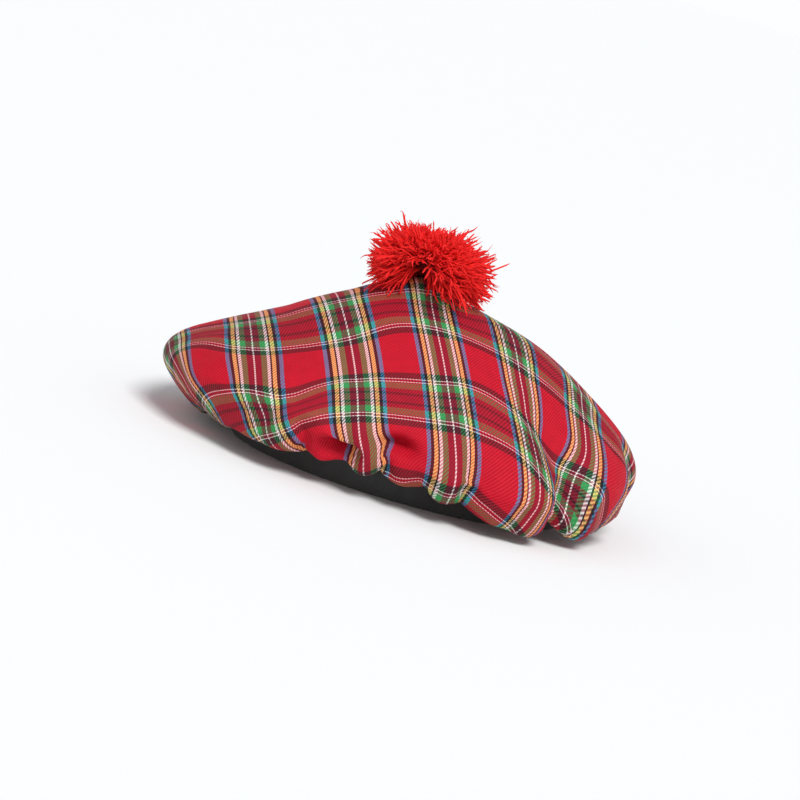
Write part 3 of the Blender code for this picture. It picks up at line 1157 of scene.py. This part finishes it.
@dataclass
class Pompom:
    """The cut-yarn pompom: single yarn ends from a low tied middle, parted at the front."""

    center: tuple[float, float, float] = (-0.0175, -0.0040, 0.1255)
    radius: float = 0.0362
    top: float = 0.0225
    bottom: float = 0.0140
    lean: float = 0.10
    yarns: int = 2650
    span: float = 1.62
    yarn_radius: float = 0.00057
    yarn_sizes: tuple[float, float] = (0.8, 1.15)
    lit_slope: float = 3.6
    lit_start: float = 0.6
    sides: int = 4
    profile: tuple[float, ...] = (0.75, 0.9, 1.0, 1.05, 1.05, 1.0, 1.0, 0.95, 0.80)
    fibre_ends: int = 1
    fibre_radius: float = 0.00030
    fibre_sizes: tuple[float, float] = (0.7, 1.6)
    fibre_lengths: tuple[float, float] = (0.0010, 0.0028)
    fibre_sides: int = 3
    fibre_profile: tuple[float, ...] = (1.0, 1.0, 0.8, 0.3)
    part_ahead: tuple[float, float, float] = (-0.10, -0.93, -0.30)
    part_angle: float = 34.0
    part_foot: float = 44.0
    part_foot_turn: float = 10.0
    part_reach: float = 105.0
    heart_share: float = 0.12
    heart_turn: float = 2.39996
    tuft_pull: float = 0.14
    tufts: int = 110
    spread: float = 0.07
    flatten: float = 0.20
    flatten_lean: float = 0.25
    least_reach: float = 0.78
    most_reach: float = 0.98
    proud_reach: float = 1.12
    proud_share: float = 0.10
    bend: float = 0.55
    wander: float = 0.08
    sways: float = 11.0
    root: float = 0.06
    droop: float = 0.0035
    clearance: float = 0.0012
    spring: float = 0.025
    fibre_splay: float = 0.40
    seed: int = 11

    def directions(self, random: np.random.Generator) -> np.ndarray:
        """Spread the yarn ends' directions, drawn into tufts and away from the parting.

        Args:
            random: The source of spread.

        Returns:
            Unit directions, one row each.
        """
        index = np.arange(self.yarns) + 0.5
        z = 1.0 - self.span * index / self.yarns
        turn = np.pi * (3.0 - math.sqrt(5.0)) * index
        flat = np.sqrt(np.maximum(0.0, 1.0 - z * z))
        ways = np.stack([flat * np.cos(turn), flat * np.sin(turn), z], axis=-1)
        tufts = random.normal(size=(self.tufts, 3))
        tufts /= np.linalg.norm(tufts, axis=1, keepdims=True)
        nearest = tufts[np.argmax(ways @ tufts.T, axis=1)]
        ways = ways + self.tuft_pull * (nearest - ways) + random.normal(scale=self.spread, size=ways.shape)
        below = np.minimum(ways[:, 2], 0.0)
        ways[:, 2] -= below * (self.flatten + self.flatten_lean * ways[:, 0])
        ways /= np.linalg.norm(ways, axis=1, keepdims=True)
        return self.part(ways)

    def part(self, ways: np.ndarray) -> np.ndarray:
        """Turn directions away from the parting, and drop those that would hang below it.

        Args:
            ways: Unit directions, one row each.

        Returns:
            The turned directions that are kept.
        """
        ahead = np.array(self.part_ahead)
        ahead /= np.linalg.norm(ahead)
        right = np.cross(ahead, [0.0, 0.0, 1.0])
        right /= np.linalg.norm(right)
        up = np.cross(right, ahead)
        angle = np.arccos(np.clip(ways @ ahead, -1.0, 1.0))
        open_angle = math.radians(self.part_angle)
        wide = open_angle + (math.pi - open_angle) * (angle / math.pi) ** 1.1
        around = np.arctan2(ways @ up, ways @ right)
        foot = math.radians(self.part_foot)
        under = np.abs(around + math.pi / 2.0 - math.radians(self.part_foot_turn)) < foot
        kept = ~(under & (wide < math.radians(self.part_reach)))
        turned = (np.cos(wide)[:, None] * ahead + np.sin(wide)[:, None]
                  * (np.cos(around)[:, None] * right + np.sin(around)[:, None] * up))
        return turned[kept]

    def reach(self, ways: np.ndarray, random: np.random.Generator) -> np.ndarray:
        """Length of each yarn end; a few stand out beyond the rest.

        Args:
            ways: Unit directions, one row each.
            random: The source of spread.

        Returns:
            The lengths in metres.
        """
        flat = np.hypot(ways[:, 0], ways[:, 1])
        side = ways[:, 0] / np.maximum(flat, 1e-6)
        tall = np.where(ways[:, 2] > 0.0, self.top, self.bottom * (1.0 - 2.0 * self.lean * side))
        reach = 1.0 / np.hypot(flat / (self.radius * (1.0 + self.lean * side)), ways[:, 2] / tall)
        ragged = random.uniform(self.least_reach, self.most_reach, size=len(ways))
        proud = random.uniform(size=len(ways)) > 1.0 - self.proud_share
        beyond = random.uniform(self.most_reach, self.proud_reach, size=len(ways))
        return reach * np.where(proud, beyond, ragged)

    def paths(self, random: np.random.Generator, crown: Crown) -> np.ndarray:
        """Middle line of every yarn end, kept above the crown.

        Args:
            random: The source of spread.
            crown: The crown under the pompom.

        Returns:
            Points, by yarn, ring and axis.
        """
        ways = self.directions(random)
        reach = self.reach(ways, random)
        t = np.linspace(self.root, 1.0, len(self.profile))
        side = np.cross(ways, random.normal(size=ways.shape))
        side /= np.linalg.norm(side, axis=1, keepdims=True)
        bend = random.uniform(0.0, self.bend, size=len(ways)) * reach
        wander = random.uniform(-self.wander, self.wander, size=len(ways)) * reach
        start = random.uniform(0.0, 6.28, size=len(ways))[:, None]
        other = np.cross(ways, side)
        line = ways[:, None] * (reach[:, None] * t)[..., None]
        line = line + side[:, None] * (bend[:, None] * t ** 2)[..., None]
        sway = wander[:, None] * (t + 0.1) * np.sin(t * self.sways + start)
        line = line + other[:, None] * sway[..., None]
        line[..., 2] -= self.droop * (t ** 2)[None]
        return self.lift(line + np.array(self.center), crown)

    def lift(self, points: np.ndarray, crown: Crown) -> np.ndarray:
        """Keep points above the crown's face.

        Args:
            points: Points, with the axis last; changed in place.
            crown: The crown under them.

        Returns:
            The points.
        """
        azimuths = np.degrees(np.arctan2(points[..., 1] - crown.apex_y, points[..., 0] - crown.apex_x))
        out = np.hypot(points[..., 1] - crown.apex_y, points[..., 0] - crown.apex_x)
        low, high = np.zeros_like(out), np.full_like(out, 0.55)
        for _ in range(20):
            share = 0.5 * (low + high)
            face = crown.plain(share, azimuths)
            nearer = np.hypot(face[..., 0] - crown.apex_x, face[..., 1] - crown.apex_y) < out
            low, high = np.where(nearer, share, low), np.where(nearer, high, share)
        floor = crown.plain(low, azimuths)[..., 2] + self.clearance
        height = points[..., 2]
        points[..., 2] = np.where(height < floor, floor + self.spring * (floor - height), height)
        return points

    def tubes(self, name: str, material: bpy.types.Material, paths: np.ndarray, radii: np.ndarray,
              sides: int, depth: np.ndarray, own: np.ndarray) -> bpy.types.Object:
        """Make closed tubes along middle lines.

        Args:
            name: The object's name.
            material: The red yarn.
            paths: Middle lines, by tube, ring and axis.
            radii: Radius by tube and ring.
            sides: Sides of each tube.
            depth: Share of the lit colour, with painted shade near the middle, by tube and ring.
            own: One number per tube.

        Returns:
            One object that holds all the tubes.
        """
        count, rings, _ = paths.shape
        along = np.gradient(paths, axis=1)
        along /= np.maximum(np.linalg.norm(along, axis=-1, keepdims=True), 1e-9)
        helper = np.where(np.abs(along[:, :1, 2:3]) < 0.8, [[[0.0, 0.0, 1.0]]], [[[1.0, 0.0, 0.0]]])
        first = np.cross(along, np.broadcast_to(helper, along.shape))
        first /= np.linalg.norm(first, axis=-1, keepdims=True)
        second = np.cross(along, first)
        turn = 2.0 * np.pi * np.arange(sides) / sides
        ring = (first[:, :, None] * np.cos(turn)[:, None] + second[:, :, None] * np.sin(turn)[:, None])
        verts = paths[:, :, None] + ring * radii[:, :, None, None]
        base = np.arange(count * rings * sides).reshape(count, rings, sides)
        following = np.roll(base, -1, axis=2)
        quads = np.stack([base[:, :-1], following[:, :-1], following[:, 1:], base[:, 1:]], axis=-1)
        numbers = np.stack([np.broadcast_to(depth[:, :, None], base.shape),
                            np.broadcast_to(own[:, None, None], base.shape)], axis=-1)
        item = new_object(name, verts.reshape(-1, 3), quads.reshape(-1, 4).tolist(),
                          {DEPTH_MAP: numbers.reshape(-1, 2)}, material)
        work = bmesh.new()
        work.from_mesh(item.data)
        bmesh.ops.holes_fill(work, edges=[edge for edge in work.edges if edge.is_boundary], sides=8)
        bmesh.ops.recalc_face_normals(work, faces=work.faces)
        work.to_mesh(item.data)
        work.free()
        item.data.shade_smooth()
        return item

    def build(self, material: bpy.types.Material, crown: Crown) -> None:
        """Make the yarn ends, their loose fibres and the tied middle.

        Args:
            material: The red yarn.
            crown: The crown under the pompom.
        """
        random = np.random.default_rng(self.seed)
        paths = self.paths(random, crown)
        rings = np.linspace(0.0, 1.0, len(self.profile))
        count = len(paths)
        size = self.yarn_radius * random.uniform(*self.yarn_sizes, size=count)
        own = random.uniform(size=count)
        # painted shade: yarn dark near the middle, lit colour from a little way out
        lit = np.clip(rings * self.lit_slope - self.lit_start, 0.0, 1.0)
        depth = np.broadcast_to(lit, (count, len(rings)))
        yarn = self.tubes("pompom_yarn", material, paths, size[:, None] * np.array(self.profile),
                          self.sides, depth, own)
        tips = np.repeat(paths[:, -1], self.fibre_ends, axis=0)
        leave = np.repeat(paths[:, -1] - paths[:, -2], self.fibre_ends, axis=0)
        leave /= np.linalg.norm(leave, axis=1, keepdims=True)
        splay = random.normal(scale=self.fibre_splay, size=tips.shape)
        length = random.uniform(*self.fibre_lengths, size=len(tips))
        t = np.linspace(-0.3, 1.0, len(self.fibre_profile))
        fibre = tips[:, None] + (leave[:, None] + splay[:, None] * np.maximum(t, 0.0)[:, None]) * (
            length[:, None] * t)[..., None]
        fibre = self.lift(fibre, crown)
        fine = self.fibre_radius * random.uniform(*self.fibre_sizes, size=len(tips))
        radii = fine[:, None] * np.array(self.fibre_profile)
        fibres = self.tubes("pompom_fibres", material, fibre, radii, self.fibre_sides,
                            np.ones((len(tips), len(t))), np.repeat(own, self.fibre_ends))
        heart = self.heart(material)
        for item in (yarn, fibres, heart):
            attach(item, "root")
        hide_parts("pompom")
        LOG.info("pompom: %d yarn ends, %d faces", count,
                 len(yarn.data.polygons) + len(fibres.data.polygons))

    def heart(self, material: bpy.types.Material) -> bpy.types.Object:
        """Make the tied middle that closes the view through the yarn.

        Args:
            material: The red yarn.

        Returns:
            The middle's object.
        """
        radius = self.radius * self.heart_share
        bpy.ops.object.select_all(action="DESELECT")
        bpy.ops.mesh.primitive_ico_sphere_add(subdivisions=4, radius=radius, location=self.center)
        item = bpy.context.active_object
        item.name = item.data.name = "pompom_heart"
        bpy.ops.object.transform_apply(location=True, rotation=True, scale=True)
        mesh = item.data
        middle = Vector(self.center)
        for index, vert in enumerate(mesh.vertices):
            way = (vert.co - middle).normalized()
            swell = 1.0 + 0.15 * math.sin(index * self.heart_turn)
            vert.co = middle + way * self.radius * self.heart_share * swell
        layer = mesh.uv_layers.get(DEPTH_MAP) or mesh.uv_layers.new(name=DEPTH_MAP)
        # painted shade: the tied middle takes the dark colour near the root
        for loop in layer.data:
            loop.uv = (0.05, 0.4)
        mesh.materials.clear()
        mesh.materials.append(material)
        return item


class Sun(NamedTuple):
    """One far soft light: the side it shines from, its width in degrees and its strength."""

    name: str
    place: tuple[float, float, float]
    spread: float
    power: float


@dataclass
class Studio:
    """Floor, lights and camera."""

    elevation: float = 10.0
    roll: float = 16.5
    distance: float = 1.60
    metres_per_pixel: float = 0.000592
    frame_pixels: int = 800
    right_shift: float = -0.00995
    up_shift: float = 0.0428
    floor_radius: float = 160.0
    horizon: float = 0.06
    fade: float = 0.22
    haze: Color = (0.98, 0.99, 1.0)
    sky: Color = (0.40, 0.41, 0.43)
    suns: tuple[Sun, ...] = (Sun("key", (0.38, -0.90, 1.34), 26.0, 2.36),
                             Sun("fill", (-1.2, -0.9, 0.8), 60.0, 0.18))

    def camera(self) -> None:
        """Place the camera at the photograph's angle."""
        lens = bpy.data.cameras.new("camera")
        lens.sensor_width = 36.0
        lens.sensor_fit = "HORIZONTAL"
        lens.lens = 36.0 * self.distance / (self.metres_per_pixel * self.frame_pixels)
        lens.clip_end = 60.0
        item = bpy.data.objects.new("camera", lens)
        bpy.context.scene.collection.objects.link(item)
        tilt = math.radians(self.elevation)
        ahead = Vector((0.0, math.cos(tilt), -math.sin(tilt)))
        up = Vector((0.0, math.sin(tilt), math.cos(tilt)))
        right = Vector((1.0, 0.0, 0.0))
        place = right * self.right_shift + up * self.up_shift - ahead * self.distance
        turn = Matrix((right, up, -ahead)).transposed()
        item.matrix_world = (Matrix.Translation(place) @ turn.to_4x4()
                             @ Matrix.Rotation(math.radians(self.roll), 4, "Z"))
        bpy.context.scene.camera = item

    def floor(self) -> None:
        """Lay the plain pale floor."""
        bpy.ops.object.select_all(action="DESELECT")
        bpy.ops.mesh.primitive_circle_add(vertices=96, radius=self.floor_radius, fill_type="NGON",
                                          location=(0.0, 0.0, 0.0))
        item = bpy.context.active_object
        item.name = item.data.name = "floor"
        maker = MaterialMaker("floor")
        noise = maker.make("ShaderNodeTexNoise", {"noise_dimensions": "3D"}, {"Scale": 3.0, "Detail": 2.0})
        color = maker.mix(Value(maker, noise.outputs[0]) * 0.1, (0.93, 0.94, 0.94), (0.90, 0.91, 0.91))
        item.data.materials.append(maker.finish(color, Roughness=0.9, Specular_IOR_Level=0.1))

    def hang(self, sun: Sun) -> None:
        """Hang one far soft light.

        Args:
            sun: The light.
        """
        lamp = bpy.data.lights.new(sun.name, "SUN")
        lamp.angle = math.radians(sun.spread)
        lamp.energy = sun.power
        item = bpy.data.objects.new(sun.name, lamp)
        bpy.context.scene.collection.objects.link(item)
        item.matrix_world = (-Vector(sun.place)).to_track_quat("-Z", "Y").to_matrix().to_4x4()

    def world(self) -> None:
        """Light the air: pale at the horizon, greyer above."""
        world = bpy.data.worlds.new("studio")
        maker = NodeMaker(world)
        place = maker.make("ShaderNodeTexCoord")
        split = maker.make("ShaderNodeSeparateXYZ", None, {0: place.outputs["Generated"]})
        stops = [(self.horizon, (*self.haze, 1.0)), (self.horizon + self.fade, (*self.sky, 1.0))]
        ramp = maker.make("ShaderNodeValToRGB", {"stops": stops}, {0: split.outputs[2]})
        maker.feed(maker.nodes["Background"].inputs[0], ramp.outputs[0])
        bpy.context.scene.world = world

    def build(self) -> None:
        """Set up the whole studio."""
        self.camera()
        self.floor()
        for sun in self.suns:
            self.hang(sun)
        self.world()
        bpy.context.scene.view_settings.view_transform = "Standard"
        LOG.info("studio: camera %.2f m away, %.1f degrees up", self.distance, self.elevation)


def main() -> None:
    """Build every piece and the studio."""
    logging.basicConfig(level=logging.INFO, format="%(message)s")
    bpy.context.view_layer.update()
    Studio().build()
    crown = Crown()
    Headband().build(BandCloth().build())
    crown.build(CheckedTwill().build())
    Pompom().build(PompomYarn().build(), crown)


if __name__ == "__main__":
    main()
